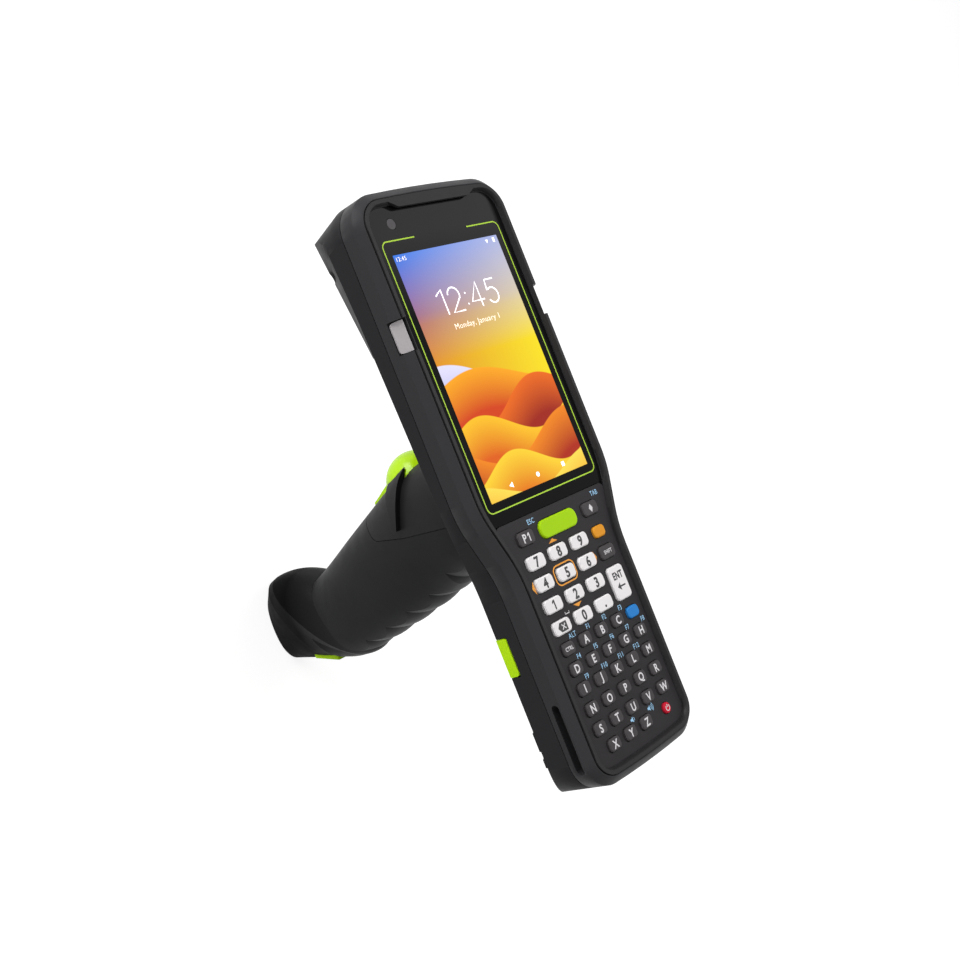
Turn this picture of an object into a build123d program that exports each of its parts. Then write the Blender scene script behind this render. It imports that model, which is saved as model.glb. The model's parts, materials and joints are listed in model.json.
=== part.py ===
from build123d import *
import os
from math import atan, cos, degrees, hypot, pi, sin

# Everything is modelled in the face frame, in millimetres: x to the right, y towards the scanner
# end and z out of the display, with the origin in the middle of the display, on top of the glass.
# The finished pieces are moved once, at the end, so that the terminal stands on its foot.

# Case outline, seen from above
head_half = 37.4                # half width beside the display
keypad_half = 30.6              # half width beside the keypad
head_end_y = 65.9
keypad_end_y = -144.6
waist_head_y = -46.0            # where the sides start to draw in
waist_keypad_y = -68.0          # where they run straight again
waist_radius = 40.0
head_corner_radius = 12.5
keypad_corner_radius = 11.5
end_crown = 1.1                 # how far both ends bow out

# Case heights
case_top_z = 1.5
seam_z = -7.6                   # joint between the front and the rear housing
back_z = -27.0
top_chamfer = 2.6
seam_gap = 0.3                  # shadow line outside the gasket
lower_edge_z = -17.2            # lower end of the upright side, beside the keypad
back_slope = 0.70               # rise of the tapered lower sides
head_drop_y = waist_head_y      # from here on the back deepens towards the head
head_drop = 3.6                 # by this much at the head end
case_wall = 2.4
beyond = 5.0                    # cutting bodies reach this far past what they cut

# Bezel and window
bezel_inset = 2.9
bezel_gap = 0.35                # dark groove outside the bezel
bezel_floor_z = 0.3
bezel_top_z = 2.1
bezel_inner_inset = 4.6         # inner edge of the bezel's top
window_inset = 5.4              # the window at the level of the glass
lip_left_x, lip_right_x = -17.0, 18.0
lip_taper = 4.5
lip_depth = 1.7
lip_corner = 3.0
lip_floor_z = 0.8               # the earpiece's sound slot stays open below this
fit = 0.15                      # clearance of a fixed piece in its recess

# Display stack
glass_thickness = 1.2
glass_end_y = -51.1
pocket_inset = 7.0              # inside of the front housing below the window
chassis_seat_inset = 9.4        # the ledge that carries the chassis
module_half_x, module_half_y = 29.0, 47.0
module_thickness = 2.6
chassis_thickness = 1.2
board_thickness = 1.2
board_gap = 0.4
board_head_y = 50.0
sensor_x, sensor_y, sensor_radius = -21.2, 54.0, 1.9
speaker_half_x, speaker_low_y, speaker_high_y = 7.5, 50.5, 57.5

# Keypad
plate_top_z = 0.2
plate_gap_y = 0.25              # between the glass and the keypad plate
plate_corner = 2.0
key_top_z = 1.2
key_travel = 0.8
key_rest_gap = 0.3              # between a pressed key and the mat
key_gap = 0.25
key_corner = 1.5
key_edge = 0.4
mat_thickness = 0.6
mat_end_y = -54.3
number_size = (9.0, 4.8)
number_x = (-17.6, -5.75, 6.1)
number_y = (-66.7, -74.3, -82.0, -89.75)
letter_size = (6.2, 4.4)
letter_pitch_x, letter_pitch_y = 9.3, 7.08
letter_top_y = -97.1
top_row_x, top_row_y = (-17.9, -0.4, 17.6), -58.1
function_size = (8.2, 4.8)      # the keys beside the scan key, SHIFT and CTRL
scan_size = (19.8, 6.4)
enter_size = (8.3, 12.1)
orange_size = (6.2, 4.1)
blue_size = (6.2, 4.1)
side_column_x = 17.6
last_row_x = -14.9              # first key of the last letter row
power_x, power_radius = 16.3, 1.95

# Side keys, slanted like the chamfer and sunk a little below it
side_key_low_y, side_key_high_y = 11.9, 22.5
side_key_inner_x, side_key_outer_x = head_half - 3.7, head_half - 0.45
side_key_low_z, side_key_edge_z, side_key_top_z = -2.7, -2.2, 0.9
side_key_corner = 1.6
side_key_travel = 0.6
side_key_gap = 0.3
side_notch_sill_z = 1.6         # bezel height left inside the notch

# Slot in the left side
slot_low_y, slot_high_y = -136.4, -111.8
slot_low_z, slot_high_z = -5.1, -1.9
slot_depth = 3.2
slot_hole_depth = 5.0
slot_hole_length = 4.6

# Scanner head
nose_start_y, nose_full_y = 12.5, 16.0
nose_root_x, nose_root_z = head_half - 4.0, -19.0
nose_root_back_x, nose_root_back_z = head_half - 17.9, -28.8
nose_edge_x, nose_edge_z = head_half - 6.0, -28.0
nose_back_x, nose_back_z = head_half - 15.4, -33.5
nose_break_z = -12.0            # the end face leans back below this height
nose_lean = 0.27                # for each millimetre further down
cavity_end_y = 59.2
scan_seat_y = 61.6
scan_half_x, scan_low_z, scan_high_z = 22.0, -18.5, -9.9
scan_rim = 1.8
scan_thickness = 1.4
engine_half_x, engine_low_y, engine_high_y = 12.0, 42.0, 58.0
engine_low_z, engine_high_z = -21.0, -10.0
pedestal_margin = 2.0

# Battery
battery_half_x = 22.5
battery_low_y, battery_high_y = -132.0, -70.0
battery_top_z = -11.4
battery_gap = 0.35
battery_wall = 1.6
bay_wall = 1.6
bay_roof = 1.3
cell_height = 10.0
latch_low_y, latch_high_y = -99.7, -86.4
latch_top_z = -12.9
latch_travel = 2.0
latch_inner_x = battery_half_x + latch_travel + 0.4
latch_proud = 0.2
latch_corner = 1.2
latch_gap = 0.3
latch_post_radius = 1.2
latch_post_reach = 2.4
latch_post_spacing = 7.0
latch_post_drop = 0.6
post_fit = 0.08
battery_contact_half_x = 9.0
battery_contact_low_y, battery_contact_high_y = -78.0, -73.0
contact_gap = 0.1
pads_y = ((-126.2, -119.6), (-132.0, -129.0))   # low pads on the tapered sides
pads_proud = 0.5
pads_inner_x = battery_half_x + 2.0
pad_count = 7
pad_pitch = 4.0
pad_size = 2.2
pad_depth = 1.0
pad_z = -12.5

# Screws
screw_shaft_radius = 0.95
screw_head_radius = 2.0
screw_head_height = 1.6
screw_head_z = -12.4            # under the head of a housing screw
screw_tip_z = -3.6
screw_fit = 0.05
column_radius = 3.0
screw_inset = 4.3
screw_head_y, screw_waist_y = 46.0, -77.0
screw_keypad_x = 17.0
grip_screw_x = 9.5
grip_screw_neck_y, grip_screw_handle_y = -27.5, -55.5
grip_screw_reach = 2.6

# Gasket in the joint
gasket_inset = 0.9
gasket_width = 1.0
gasket_height = 0.7

# Grip: front point, rear point (y, z) and half width of each section, from the case downwards
foot_z = -165.0
column_sections = (
    ((-19.0, -26.0), (-62.5, -26.0), 18.5),
    ((-20.4, -47.0), (-66.8, -45.5), 18.2),
    ((-22.9, -62.0), (-70.6, -59.0), 17.5),
    ((-27.2, -74.6), (-74.2, -71.0), 17.0),
    ((-34.4, -94.0), (-77.9, -87.0), 16.2),
    ((-41.0, -111.0), (-81.0, -104.0), 15.4),
    ((-46.4, foot_z + 39.0), (-83.1, foot_z + 47.5), 14.6),
    ((-53.0, foot_z + 23.0), (-82.0, foot_z + 36.0), 14.0),
)
foot_top_sections = (
    ((-48.8, foot_z + 37.0), (-82.0, foot_z + 53.0), 14.2),
    ((-44.4, foot_z + 29.5), (-82.8, foot_z + 51.5), 14.7),
    ((-41.5, foot_z + 19.5), (-83.2, foot_z + 50.0), 15.2),
    ((-41.0, foot_z + 9.5), (-83.3, foot_z + 48.5), 15.6),
)
foot_low_sections = (
    ((-42.0, foot_z + 4.8), (-81.0, foot_z + 28.0), 12.8),
    ((-46.0, foot_z), (-76.8, foot_z), 8.0),
)
section_power = 2.3             # 2 is an ellipse, more is squarer
section_points = 16
grip_wall = 2.4
grip_plate = 3.0
handle_start_y = -46.5          # joint between neck and handle, at the case
joint_corner = (-41.6, -73.2)
joint_radius = 6.0
joint_front = (-31.0, -81.2)
joint_waist = (-44.2, -55.0)
joint_gap = 0.2
cable_hole_radius = 3.5
cable_hole_y = -41.0

# Finger ridges beside the trigger
ridge_height = 2.2
ridge_inner_x = 9.0
ridge_upper = ((-12.0, -50.5), (-21.0, -51.0), (-30.0, -52.3), (-36.0, -54.0))
ridge_lower = ((-41.0, -56.0), (-36.0, -57.5), (-28.0, -59.5), (-21.0, -60.0), (-12.0, -59.5))

# Palm swells: creases (y, z) down the back of the grip, with a bulge between each two
palm_creases = (
    (-61.0, -27.0), (-65.9, -46.0), (-70.0, -61.0),
    (-73.7, -76.0), (-76.8, -91.0), (-79.5, -105.5), (-81.8, -118.5),
)
palm_bulge = 1.2
palm_radius = 20.0
palm_angle = 40.0

# Trigger
pivot_y, pivot_z = -31.0, -38.0
pin_radius = 1.5
pin_half = 12.0
pin_fit = 0.05
boss_radius = 3.2
boss_inner_x, boss_outer_x = 5.5, 15.3
dome_radius = 11.5
dome_y, dome_z = -26.5, -57.0
dome_rear_y = -33.0
dome_gap = 0.7
blade_half = 6.0
blade_gap = 0.6
blade_front = ((-18.5, -56.0), (-21.8, -63.0), (-25.2, -70.3), (-27.4, -75.0), (-28.2, -77.0))
blade_depth = 4.0
arm_left_x, arm_right_x = -5.0, 1.5
arm_radius = 3.6
spring_radius = 2.6
spring_wire = 0.8
spring_left_x, spring_right_x = 1.9, 5.1
spring_leg_drop = 9.0
rib_front_y, rib_thickness = -42.7, 1.6
rib_half, rib_low_z = 8.0, -63.0
switch_half, switch_depth = 3.2, 5.6
switch_low_z, switch_high_z = -59.0, -50.0
plunger_radius, plunger_reach = 0.9, 1.0

# Lanyard clip at the back of the foot
clip_half = 7.5
clip_top = (-81.6, foot_z + 33.5)  # ends of its outer face (y, z)
clip_foot = (-78.2, foot_z + 19.0)
clip_thickness = 3.0
clip_fit = 0.1
channel_half = 6.0
channel_top_z, channel_low_z = foot_z + 38.5, foot_z + 13.5
channel_depth = 7.0             # behind the clip

glass_z = -glass_thickness
chassis_top_z = glass_z - module_thickness
chassis_z = chassis_top_z - chassis_thickness
board_z = chassis_z - board_thickness
mat_top_z = chassis_top_z + mat_thickness
key_bottom_z = mat_top_z + key_rest_gap + key_travel
case_middle_y = (head_end_y + keypad_end_y) / 2


def block(x0, x1, y0, y1, z0, z1):
    """A box between two corners."""
    return Pos(x0, y0, z0) * Box(x1 - x0, y1 - y0, z1 - z0, align=(Align.MIN, Align.MIN, Align.MIN))


def both_sides(solid):
    """A solid on the right and its mirror image on the left."""
    return [solid, mirror(solid, about=Plane.YZ)]


def side_profile(points, half):
    """A (y, z) outline given its width across the case."""
    face = Plane.YZ * make_face(Polyline(*points, close=True))
    return extrude(face, amount=half, both=True)


def rod_x(radius, x0, x1, y, z):
    """A round rod along x."""
    rod = Cylinder(radius, x1 - x0, align=(Align.CENTER, Align.CENTER, Align.MIN))
    return Plane((x0, y, z), z_dir=(1, 0, 0)) * rod


def rod_z(radius, x, y, z0, z1):
    """A round rod along z."""
    return Pos(x, y, z0) * Cylinder(radius, z1 - z0, align=(Align.CENTER, Align.CENTER, Align.MIN))


def outline(inset=0.0):
    """Plan of the case: wide head, waist and narrower keypad end, drawn inside its edge by the inset."""
    right = Polyline(
        (keypad_half, keypad_end_y + end_crown),
        (keypad_half, waist_keypad_y),
        (head_half, waist_head_y),
        (head_half, head_end_y - end_crown),
    )
    head_end = ThreePointArc(right @ 1, (0, head_end_y), (-head_half, head_end_y - end_crown))
    keypad_end = ThreePointArc((-keypad_half, keypad_end_y + end_crown), (0, keypad_end_y), right @ 0)
    left = mirror(right, about=Plane.YZ)
    face = make_face(right.edges() + head_end.edges() + left.edges() + keypad_end.edges())
    corners = (
        (keypad_end_y + end_crown, keypad_corner_radius),
        (waist_keypad_y, waist_radius),
        (waist_head_y, waist_radius),
        (head_end_y - end_crown, head_corner_radius),
    )
    for y, radius in corners:
        face = fillet(face.vertices().filter_by_position(Axis.Y, y - 0.01, y + 0.01), radius)
    return offset(face, amount=-inset, kind=Kind.ARC) if inset else face


def slab(inset, low_z, high_z):
    """The case outline, drawn in by the inset, between two heights."""
    return Pos(0, 0, low_z) * extrude(outline(inset), amount=high_z - low_z, dir=(0, 0, 1))


def window_cut():
    """The opening inside the bezel, narrowing from the bezel's top down to the glass."""
    slope = degrees(atan((window_inset - bezel_inner_inset) / bezel_top_z))
    opening = extrude(outline(bezel_inner_inset), amount=bezel_top_z, dir=(0, 0, -1), taper=slope)
    return Pos(0, 0, bezel_top_z) * opening


def side_notches(inner_x, low_z):
    """Cuts for both side keys, open to the side and the top."""
    notch = block(
        inner_x, head_half + beyond,
        side_key_low_y - side_key_gap, side_key_high_y + side_key_gap,
        low_z, bezel_top_z + beyond,
    )
    return both_sides(notch)


def notch_wall_x():
    """How deep the side keys' notches go."""
    return side_key_inner_x - side_key_travel - side_key_gap / 2


def side_slot():
    """The slot in the left side, with a deeper round-ended hole at its upper end."""
    height = slot_high_z - slot_low_z
    middle_z = (slot_high_z + slot_low_z) / 2
    middle_y = (slot_high_y + slot_low_y) / 2
    plane = Plane((-keypad_half - 1, middle_y, middle_z), x_dir=(0, 1, 0), z_dir=(1, 0, 0))
    slot = extrude(plane * SlotOverall(slot_high_y - slot_low_y, height), amount=slot_depth + 1)
    hole_plane = plane.shift_origin((-keypad_half - 1, slot_high_y - slot_hole_length / 2, middle_z))
    hole = extrude(hole_plane * SlotOverall(slot_hole_length, height), amount=slot_hole_depth + 1)
    return [slot, hole]


def screw_places():
    """Axes of the housing screws, in the solid margin of the case."""
    right = [
        (head_half - screw_inset, screw_head_y),
        (keypad_half - screw_inset, screw_waist_y),
        (screw_keypad_x, keypad_end_y + screw_inset),
    ]
    return right + [(-x, y) for x, y in right]


def front_housing():
    """The chamfered frame round the glass and the keypad."""
    body = slab(0, seam_z, case_top_z)
    body = chamfer(body.faces().sort_by(Axis.Z)[-1].edges(), top_chamfer)
    body -= slab(bezel_inset, bezel_floor_z, case_top_z + beyond)
    body -= slab(window_inset, glass_z, case_top_z)
    body -= slab(pocket_inset, chassis_z, glass_z)
    body -= slab(chassis_seat_inset, seam_z, chassis_z)
    body -= slab(gasket_inset, seam_z, seam_z + gasket_height) - slab(gasket_inset + gasket_width, seam_z, 0)
    body -= slab(0, seam_z, seam_z + seam_gap) - slab(gasket_inset, seam_z, 0)
    body -= side_notches(notch_wall_x(), side_key_low_z - side_key_gap)
    body -= side_slot()
    body -= [rod_z(screw_shaft_radius + screw_fit, x, y, seam_z, screw_tip_z) for x, y in screw_places()]
    return body


def earpiece_lip():
    """The part of the bezel that reaches in over the earpiece, with drawn-in ends."""
    root_y = head_end_y - bezel_inner_inset
    end_y = head_end_y - window_inset - lip_depth
    points = [
        (lip_left_x - lip_taper, root_y),
        (lip_left_x, end_y),
        (lip_right_x, end_y),
        (lip_right_x + lip_taper, root_y),
    ]
    face = make_face(Polyline(*points, close=True))
    face = fillet(face.vertices().filter_by_position(Axis.Y, end_y - 0.01, end_y + 0.01), lip_corner)
    return Pos(0, 0, lip_floor_z) * extrude(face, amount=bezel_top_z - lip_floor_z)


def front_bezel():
    """The raised ring round the window, with the lip over the earpiece's slot."""
    ring = slab(bezel_inset + bezel_gap, bezel_floor_z, bezel_top_z)
    ring -= window_cut()
    ring += earpiece_lip()
    ring -= side_notches(notch_wall_x(), bezel_floor_z)
    sill = side_notches(head_half - window_inset - 1, side_notch_sill_z)
    return ring - sill


def housing_gasket():
    """The seal pressed between the two housings."""
    low, high = seam_z, seam_z + gasket_height
    return slab(gasket_inset, low, high) - slab(gasket_inset + gasket_width, low - 1, high + 1)


def display_glass():
    """The cover glass over the display, with a hole for the light sensor."""
    glass = slab(window_inset + fit, glass_z, 0)
    glass &= block(-head_half, head_half, glass_end_y, head_end_y, glass_z, 0)
    return glass - rod_z(sensor_radius + fit, sensor_x, sensor_y, glass_z, 0)


def light_sensor():
    """The round sensor lens and its body on the chassis."""
    return rod_z(sensor_radius, sensor_x, sensor_y, chassis_top_z, 0)


def display_module():
    """The display panel, bonded under the glass."""
    return block(-module_half_x, module_half_x, -module_half_y, module_half_y, chassis_top_z, glass_z)


def speaker():
    """The earpiece behind the slot at the top of the glass."""
    return block(-speaker_half_x, speaker_half_x, speaker_low_y, speaker_high_y, chassis_top_z, glass_z)


def chassis_frame():
    """The stiff plate that carries the display, the key mat and the board."""
    return slab(pocket_inset + fit, chassis_z, chassis_top_z)


def main_board():
    """The circuit board under the chassis."""
    board = slab(chassis_seat_inset + board_gap, board_z, chassis_z)
    return board & block(-head_half, head_half, keypad_end_y, board_head_y, board_z, chassis_z)


def letter_row(row, first_x, count):
    """Centres of one row of letter keys."""
    y = letter_top_y - row * letter_pitch_y
    return [(first_x + i * letter_pitch_x, y) for i in range(count)]


def key_layout():
    """Every key node with its size and the centres of its keys."""
    layout = {
        "key_p1": (function_size, [(top_row_x[0], top_row_y)]),
        "key_scan": (scan_size, [(top_row_x[1], top_row_y)]),
        "key_tab": (function_size, [(top_row_x[2], top_row_y)]),
        "key_orange": (orange_size, [(side_column_x, number_y[0])]),
        "key_shift": (function_size, [(side_column_x, number_y[1])]),
        "key_enter": (enter_size, [(side_column_x, (number_y[2] + number_y[3]) / 2)]),
        "key_ctrl": (letter_size, [(-2 * letter_pitch_x, letter_top_y)]),
        "key_blue": (blue_size, [(2 * letter_pitch_x, letter_top_y)]),
    }
    number_names = ("7", "8", "9", "4", "5", "6", "1", "2", "3", "backspace", "0", "dot")
    places = [(x, y) for y in number_y for x in number_x]
    for name, place in zip(number_names, places):
        layout[f"key_{name}"] = (number_size, [place])
    layout["keys_a_to_c"] = (letter_size, letter_row(0, -letter_pitch_x, 3))
    for row, name in enumerate(("keys_d_to_h", "keys_i_to_m", "keys_n_to_r", "keys_s_to_w"), start=1):
        layout[name] = (letter_size, letter_row(row, -2 * letter_pitch_x, 5))
    layout["keys_x_to_z"] = (letter_size, letter_row(5, last_row_x, 3))
    layout["key_power"] = ((2 * power_radius, 2 * power_radius), [(power_x, letter_row(5, 0, 1)[0][1])])
    return layout


def key_plan(size, grow=0.0):
    """Outline of a key: round where it is square in size, otherwise with rounded corners."""
    width, height = size
    if width == height:
        return Circle(width / 2 + grow)
    corner = height / 2 - key_edge if width > 2 * number_size[0] else key_corner
    return RectangleRounded(width + 2 * grow, height + 2 * grow, corner + grow)


def key_cap(size):
    """One key cap with a bevelled top."""
    cap = Pos(0, 0, key_bottom_z) * extrude(key_plan(size), amount=key_top_z - key_bottom_z)
    return chamfer(cap.faces().sort_by(Axis.Z)[-1].edges(), key_edge)


def keypad_plate():
    """The plate round the keys, with a hole for each."""
    top_y = glass_end_y - plate_gap_y
    plate = slab(window_inset + fit, glass_z, plate_top_z)
    plate &= block(-head_half, head_half, keypad_end_y, top_y, glass_z, plate_top_z)
    top_corners = plate.edges().filter_by(Axis.Z).filter_by_position(Axis.Y, top_y - 0.01, top_y + 0.01)
    plate = fillet(top_corners, plate_corner)
    holes = []
    for size, places in key_layout().values():
        hole = Pos(0, 0, glass_z) * extrude(key_plan(size, key_gap), amount=plate_top_z - glass_z)
        holes += [Pos(x, y, 0) * hole for x, y in places]
    return plate - holes


def key_mat():
    """The rubber mat under the keys, lying on the chassis."""
    mat = slab(pocket_inset + board_gap, chassis_top_z, mat_top_z)
    return mat & block(-head_half, head_half, keypad_end_y, mat_end_y, chassis_top_z, 0)


def side_key(side):
    """A slanted side key; side is 1 on the right and -1 on the left."""
    points = (
        (side_key_inner_x, side_key_low_z),
        (side_key_outer_x, side_key_low_z),
        (side_key_outer_x, side_key_edge_z),
        (side_key_inner_x, side_key_top_z),
    )
    face = Plane.XZ.offset(-side_key_low_y) * make_face(Polyline(*points, close=True))
    key = extrude(face, amount=side_key_high_y - side_key_low_y, dir=(0, 1, 0))
    key = fillet(key.edges().filter_by(Axis.X), side_key_corner)
    return key if side > 0 else mirror(key, about=Plane.YZ)


def section_face(right):
    """A cross-section of the case from its right-hand (x, z) points."""
    left = [(-x, z) for x, z in reversed(right)]
    return make_face(Polyline(*right, *left, close=True))


def case_section(inset):
    """Cross-section of the rear housing under the grip: tapered sides and a flat back."""
    reach = head_half + beyond
    slope_z = lower_edge_z + inset * hypot(1, back_slope)
    flat_z = back_z + inset
    flat_half = keypad_half - (slope_z - flat_z) / back_slope
    right = [
        (reach, seam_z + beyond),
        (reach, slope_z + (reach - keypad_half) * back_slope),
        (flat_half, flat_z),
    ]
    return Plane.XZ.offset(-head_drop_y) * section_face(right)


def case_skin(inset):
    """The tapered lower form, without its outline; it deepens along the head."""
    section = case_section(inset)
    rear = extrude(section, amount=head_drop_y - keypad_end_y, dir=(0, -1, 0))
    along_head = Vector(0, head_end_y - head_drop_y, -head_drop)
    return rear + extrude(section, amount=along_head.length, dir=along_head.normalized())


def case_body(inset=0.0):
    """The rear housing's form below the joint."""
    return case_skin(inset) & slab(inset, nose_back_z, seam_z)


def nose_section(y, edge, back):
    """A cross-section of the scanner head from the lower ends of its side and its lower facet."""
    reach = head_half + beyond
    return Plane.XZ.offset(-y) * section_face([(reach, seam_z), edge, back])


def nose_wedge():
    """The scanner head: a step off the case and a wedge that deepens towards its end."""
    drop = head_drop * (nose_start_y - head_drop_y) / (head_end_y - head_drop_y)
    start_edge_z = lower_edge_z - drop + back_slope * (nose_root_x - keypad_half)
    start_back_z = start_edge_z - back_slope * (nose_root_x - nose_root_back_x)
    return loft(
        [
            nose_section(nose_start_y, (nose_root_x, start_edge_z), (nose_root_back_x, start_back_z)),
            nose_section(nose_full_y, (nose_root_x, nose_root_z), (nose_root_back_x, nose_root_back_z)),
            nose_section(head_end_y, (nose_edge_x, nose_edge_z), (nose_back_x, nose_back_z)),
        ],
        ruled=True,
    )


def rear_outline():
    """The case outline below the joint, leaning back below the break in the head's end."""
    depth = nose_break_z - nose_back_z
    lean = Vector(0, -nose_lean * depth, -depth)
    leaning = Pos(0, 0, nose_break_z) * extrude(outline(), amount=lean.length, dir=lean.normalized())
    leaning &= block(-head_half, head_half, 0, head_end_y, nose_back_z, nose_break_z)
    upright = slab(0, nose_back_z, nose_break_z)
    upright &= block(-head_half, head_half, keypad_end_y, 0, nose_back_z, nose_break_z)
    return slab(0, nose_break_z, seam_z) + leaning + upright


def latch_notch(low_y, high_y, top_z, inner_x):
    """The space that a battery latch takes on the right, down to below the back."""
    return block(inner_x, keypad_half + beyond, low_y, high_y, back_z - beyond, top_z)


def battery_bay(grow=0.0):
    """The space of the battery, open at the back."""
    return block(
        -battery_half_x - grow, battery_half_x + grow,
        battery_low_y - grow, battery_high_y + grow,
        back_z - beyond, battery_top_z + grow,
    )


def scan_opening(grow, y0, y1):
    """The scan window's space, grown all round, between two places along the case."""
    return block(-scan_half_x - grow, scan_half_x + grow, y0, y1, scan_low_z - grow, scan_high_z + grow)


def housing_cavity():
    """The hollow of the rear housing."""
    hollow = case_body(case_wall)
    return hollow & block(-head_half, head_half, keypad_end_y, cavity_end_y, back_z + case_wall, seam_z)


def side_pads():
    """Low pads on the tapered sides beside the battery."""
    pads = []
    for low_y, high_y in pads_y:
        pads.append(block(pads_inner_x, keypad_half + beyond, low_y, high_y, back_z, lower_edge_z))
    form = case_skin(-pads_proud) & slab(0, back_z, seam_z)
    return [both_sides(form & pad) for pad in pads]


def rear_solid():
    """The rear housing before it is hollowed."""
    return (case_skin(0) + nose_wedge()) & rear_outline()


def rear_housing():
    """The rear shell with the battery bay, the screw columns and the scanner's seat."""
    outer = rear_solid()
    bay_box = battery_bay(battery_gap + bay_wall) & block(
        -head_half, head_half, keypad_end_y, head_end_y, back_z, battery_top_z + battery_gap + bay_roof
    )
    columns = [rod_z(column_radius, x, y, back_z, seam_z) for x, y in screw_places()]
    pedestal = block(
        -engine_half_x + pedestal_margin, engine_half_x - pedestal_margin,
        engine_low_y + pedestal_margin, engine_high_y - pedestal_margin,
        back_z, engine_low_z,
    )
    hollow = housing_cavity() - [bay_box, pedestal] - columns
    shell = outer - hollow - battery_bay(battery_gap)
    for pair in side_pads():
        shell += pair
    notch = latch_notch(
        latch_low_y - latch_gap, latch_high_y + latch_gap, latch_top_z + latch_gap, battery_half_x
    )
    shell -= both_sides(notch)
    shell -= scan_opening(0.1, scan_seat_y, head_end_y + beyond)
    shell -= scan_opening(-scan_rim, cavity_end_y - 1, scan_seat_y)
    shell -= housing_screw_holes()
    shell -= grip_screw_holes(back_z - head_drop, back_z + case_wall)
    shell -= rod_z(cable_hole_radius, 0, cable_hole_y, back_z - head_drop, back_z + case_wall)
    shell -= battery_contact_block(fit)
    shell -= contact_pads()
    return shell


def housing_screw_holes():
    """Stepped holes for the housing screws, open at the back."""
    holes = []
    for x, y in screw_places():
        holes.append(rod_z(screw_shaft_radius + screw_fit, x, y, screw_head_z, seam_z))
        holes.append(rod_z(screw_head_radius + fit, x, y, nose_back_z - beyond, screw_head_z))
    return holes


def housing_screws():
    """The screws that pull the rear housing against the front one."""
    screws = []
    for x, y in screw_places():
        shaft = rod_z(screw_shaft_radius, x, y, screw_head_z, screw_tip_z)
        screws.append(shaft + rod_z(screw_head_radius, x, y, screw_head_z - screw_head_height, screw_head_z))
    return Compound(screws)


def grip_screw_places():
    """Axes of the screws that hold the neck and the handle to the case."""
    return [(x, y) for x in (-grip_screw_x, grip_screw_x) for y in (grip_screw_neck_y, grip_screw_handle_y)]


def grip_screw_holes(low_z, high_z):
    """Holes on the grip screws' axes."""
    return [rod_z(screw_shaft_radius + screw_fit, x, y, low_z, high_z) for x, y in grip_screw_places()]


def grip_screws():
    """The screws through the floor of the case into the grip."""
    screws = []
    floor_z = back_z + case_wall
    for x, y in grip_screw_places():
        shaft = rod_z(screw_shaft_radius, x, y, back_z - grip_screw_reach, floor_z)
        screws.append(shaft + rod_z(screw_head_radius, x, y, floor_z, floor_z + screw_head_height))
    return Compound(screws)


def scan_window():
    """The clear window in the end of the head."""
    return scan_opening(0, scan_seat_y, scan_seat_y + scan_thickness)


def scan_engine():
    """The imager behind the scan window."""
    return block(-engine_half_x, engine_half_x, engine_low_y, engine_high_y, engine_low_z, engine_high_z)


def battery_contact_block(grow=0.0):
    """The block that joins the board to the battery through the roof of the bay."""
    return block(
        -battery_contact_half_x - grow, battery_contact_half_x + grow,
        battery_contact_low_y - grow, battery_contact_high_y + grow,
        battery_top_z + contact_gap, board_z,
    )


def contact_pads():
    """The row of charging pads in the keypad end."""
    y = keypad_end_y + end_crown
    low_z, high_z = pad_z - pad_size / 2, pad_z + pad_size / 2
    first_x = -(pad_pitch * (pad_count - 1) + pad_size) / 2
    starts = [first_x + i * pad_pitch for i in range(pad_count)]
    return [block(x, x + pad_size, y, y + pad_depth, low_z, high_z) for x in starts]


def battery_pack():
    """The battery's case, flush with the back, with two posts a side for its latches."""
    case = rear_solid() & battery_bay()
    cells = battery_cells()
    case -= cells
    for post in latch_posts(latch_post_radius, battery_half_x):
        case += both_sides(post)
    return case


def battery_cells():
    """The cells inside the battery's case."""
    top_z = battery_top_z - battery_wall
    return block(
        -battery_half_x + battery_wall, battery_half_x - battery_wall,
        battery_low_y + battery_wall, battery_high_y - battery_wall,
        top_z - cell_height, top_z,
    )


def latch_posts(radius, x0, extra=0.0):
    """Guides of the right latch, from the battery's side outwards."""
    middle_y = (latch_low_y + latch_high_y) / 2
    z = (latch_top_z + lower_edge_z) / 2 - latch_post_drop
    x1 = latch_inner_x + latch_post_reach + extra
    return [rod_x(radius, x0, x1, middle_y + s * latch_post_spacing / 2, z) for s in (-1, 1)]


def battery_latch(side):
    """A squeeze latch of the battery; it follows the case's side and lower taper, slightly proud."""
    form = case_skin(-latch_proud)
    form &= block(0, keypad_half + latch_proud, latch_low_y, latch_high_y, back_z, seam_z)
    latch = form & latch_notch(latch_low_y, latch_high_y, latch_top_z, latch_inner_x)
    latch = fillet(latch.edges().filter_by(Axis.X), latch_corner)
    latch -= latch_posts(latch_post_radius + post_fit, latch_inner_x - 1, latch_travel + latch_gap)
    return latch if side > 0 else mirror(latch, about=Plane.YZ)


def grip_section(section, grow=0.0):
    """One rounded cross-section of the grip, drawn between its front and rear points."""
    (front_y, front_z), (rear_y, rear_z), half = section
    centre = Vector(0, (front_y + rear_y) / 2, (front_z + rear_z) / 2)
    reach = Vector(0, front_y - rear_y, front_z - rear_z) * 0.5
    reach = reach * ((reach.length + grow) / reach.length)
    points = []
    for i in range(section_points):
        angle = 2 * pi * i / section_points
        scale = (abs(cos(angle)) ** section_power + abs(sin(angle)) ** section_power) ** (-1 / section_power)
        points.append(centre + reach * (cos(angle) * scale) + Vector((half + grow) * sin(angle) * scale, 0, 0))
    return make_face(Spline(points, periodic=True).edges())


def grip_form(grow=0.0):
    """The column of the grip, from the back of the case down into the foot."""
    return loft([grip_section(section, grow) for section in column_sections]) - case_skin(0)


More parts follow.
